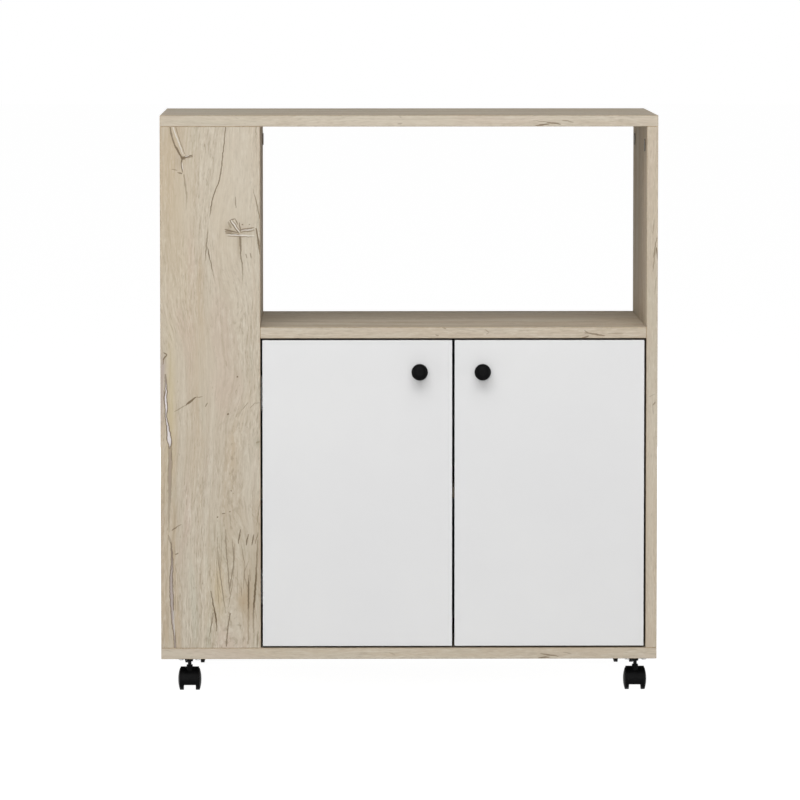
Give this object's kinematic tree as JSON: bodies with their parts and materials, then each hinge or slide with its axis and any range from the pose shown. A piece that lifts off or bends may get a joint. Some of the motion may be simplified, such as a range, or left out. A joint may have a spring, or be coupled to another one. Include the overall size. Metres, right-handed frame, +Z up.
{
  "type": "storage cabinet",
  "caption": "Low storage cabinet on swivel casters, with an open niche under the top, an inset double-door cupboard and a shelved bay at one side.",
  "frame": {"origin": "on the floor, in the middle of the whole outline, knobs included", "axes": "+Z up, -Y out of the doors towards the viewer, +X to the viewer's right"},
  "size_m": [0.672, 0.3758, 0.783],
  "materials": {
    "oak_laminate": "satin, wood-grain melamine",
    "white_laminate": "satin, plain white melamine",
    "white_hardboard": "matt, white-faced hardboard",
    "beech": "plain turned wood",
    "black_plastic": "moulded, slightly textured",
    "black_knob": "smooth",
    "cap_plastic": "moulded, satin",
    "pin_plastic": "moulded, translucent white",
    "zinc": "zinc-plated, slightly dull",
    "nickel": "nickel-plated, satin"
  },
  "bodies": {
    "cabinet": {"arm_clamp_screws": "zinc", "back_nails": "zinc", "back_panel": "white_hardboard", "bottom_panel": "oak_laminate", "cam_bolts": "zinc", "cam_caps": "cap_plastic", "cam_locks": "zinc", "caster_kingpins": "zinc", "caster_screws": "zinc", "divider_panel": "oak_laminate", "dowels": "beech", "front_left_caster_plate": "zinc", "front_right_caster_plate": "zinc", "hinge_plate_screws": "zinc", "inner_shelf": "oak_laminate", "left_front_panel": "oak_laminate", "left_hinge_arms": "nickel", "left_hinge_plates": "nickel", "left_rear_panel": "oak_laminate", "niche_shelf": "oak_laminate", "rear_left_caster_plate": "zinc", "rear_right_caster_plate": "zinc", "right_hinge_arms": "nickel", "right_hinge_plates": "nickel", "right_side_panel": "oak_laminate", "shelf_pins": "pin_plastic", "side_shelf_lower": "oak_laminate", "side_shelf_upper": "oak_laminate", "top_panel": "oak_laminate"},
    "left_door": {"left_cup_screws": "zinc", "left_door": "white_laminate", "left_hinge_cups": "nickel", "left_hinge_pins": "zinc", "left_hinge_springs": "zinc", "left_knob": "black_knob", "left_knob_screw": "zinc"},
    "right_door": {"right_cup_screws": "zinc", "right_door": "white_laminate", "right_hinge_cups": "nickel", "right_hinge_pins": "zinc", "right_hinge_springs": "zinc", "right_knob": "black_knob", "right_knob_screw": "zinc"},
    "front_left_caster": {"front_left_caster_housing": "black_plastic", "front_left_caster_axle": "zinc"},
    "front_left_caster_left_wheel": {"front_left_caster_left_wheel": "black_plastic"},
    "front_left_caster_right_wheel": {"front_left_caster_right_wheel": "black_plastic"},
    "front_right_caster": {"front_right_caster_housing": "black_plastic", "front_right_caster_axle": "zinc"},
    "front_right_caster_left_wheel": {"front_right_caster_left_wheel": "black_plastic"},
    "front_right_caster_right_wheel": {"front_right_caster_right_wheel": "black_plastic"},
    "rear_left_caster": {"rear_left_caster_housing": "black_plastic", "rear_left_caster_axle": "zinc"},
    "rear_left_caster_left_wheel": {"rear_left_caster_left_wheel": "black_plastic"},
    "rear_left_caster_right_wheel": {"rear_left_caster_right_wheel": "black_plastic"},
    "rear_right_caster": {"rear_right_caster_housing": "black_plastic", "rear_right_caster_axle": "zinc"},
    "rear_right_caster_left_wheel": {"rear_right_caster_left_wheel": "black_plastic"},
    "rear_right_caster_right_wheel": {"rear_right_caster_right_wheel": "black_plastic"}
  },
  "joints": [
    {"name": "left_door_hinge", "type": "hinge", "parent": "cabinet", "child": "left_door", "pos_m": [-0.1842, -0.1589, 0.2715], "axis": [0, 0, -1], "range_deg": [0, 95], "stiffness_Nm_per_rad": 0.15, "springref_deg": -114.59},
    {"name": "right_door_hinge", "type": "hinge", "parent": "cabinet", "child": "right_door", "pos_m": [0.3042, -0.1589, 0.2715], "axis": [0, 0, 1], "range_deg": [0, 95], "stiffness_Nm_per_rad": 0.15, "springref_deg": -114.59},
    {"name": "front_left_caster_swivel", "type": "hinge", "parent": "cabinet", "child": "front_left_caster", "pos_m": [-0.2982, -0.1409, 0.0356], "axis": [0, 0, 1], "continuous": true},
    {"name": "front_left_caster_left_wheel_spin", "type": "hinge", "parent": "front_left_caster", "child": "front_left_caster_left_wheel", "pos_m": [-0.3091, -0.1329, 0.015], "axis": [1, 0, 0], "continuous": true},
    {"name": "front_left_caster_right_wheel_spin", "type": "hinge", "parent": "front_left_caster", "child": "front_left_caster_right_wheel", "pos_m": [-0.2873, -0.1329, 0.015], "axis": [1, 0, 0], "continuous": true},
    {"name": "front_right_caster_swivel", "type": "hinge", "parent": "cabinet", "child": "front_right_caster", "pos_m": [0.3082, -0.1409, 0.0356], "axis": [0, 0, 1], "continuous": true},
    {"name": "front_right_caster_left_wheel_spin", "type": "hinge", "parent": "front_right_caster", "child": "front_right_caster_left_wheel", "pos_m": [0.2973, -0.1329, 0.015], "axis": [1, 0, 0], "continuous": true},
    {"name": "front_right_caster_right_wheel_spin", "type": "hinge", "parent": "front_right_caster", "child": "front_right_caster_right_wheel", "pos_m": [0.3191, -0.1329, 0.015], "axis": [1, 0, 0], "continuous": true},
    {"name": "rear_left_caster_swivel", "type": "hinge", "parent": "cabinet", "child": "rear_left_caster", "pos_m": [-0.2982, 0.1591, 0.0356], "axis": [0, 0, 1], "continuous": true},
    {"name": "rear_left_caster_left_wheel_spin", "type": "hinge", "parent": "rear_left_caster", "child": "rear_left_caster_left_wheel", "pos_m": [-0.3091, 0.1671, 0.015], "axis": [1, 0, 0], "continuous": true},
    {"name": "rear_left_caster_right_wheel_spin", "type": "hinge", "parent": "rear_left_caster", "child": "rear_left_caster_right_wheel", "pos_m": [-0.2873, 0.1671, 0.015], "axis": [1, 0, 0], "continuous": true},
    {"name": "rear_right_caster_swivel", "type": "hinge", "parent": "cabinet", "child": "rear_right_caster", "pos_m": [0.3082, 0.1591, 0.0356], "axis": [0, 0, 1], "continuous": true},
    {"name": "rear_right_caster_left_wheel_spin", "type": "hinge", "parent": "rear_right_caster", "child": "rear_right_caster_left_wheel", "pos_m": [0.2973, 0.1671, 0.015], "axis": [1, 0, 0], "continuous": true},
    {"name": "rear_right_caster_right_wheel_spin", "type": "hinge", "parent": "rear_right_caster", "child": "rear_right_caster_right_wheel", "pos_m": [0.3191, 0.1671, 0.015], "axis": [1, 0, 0], "continuous": true}
  ]
}
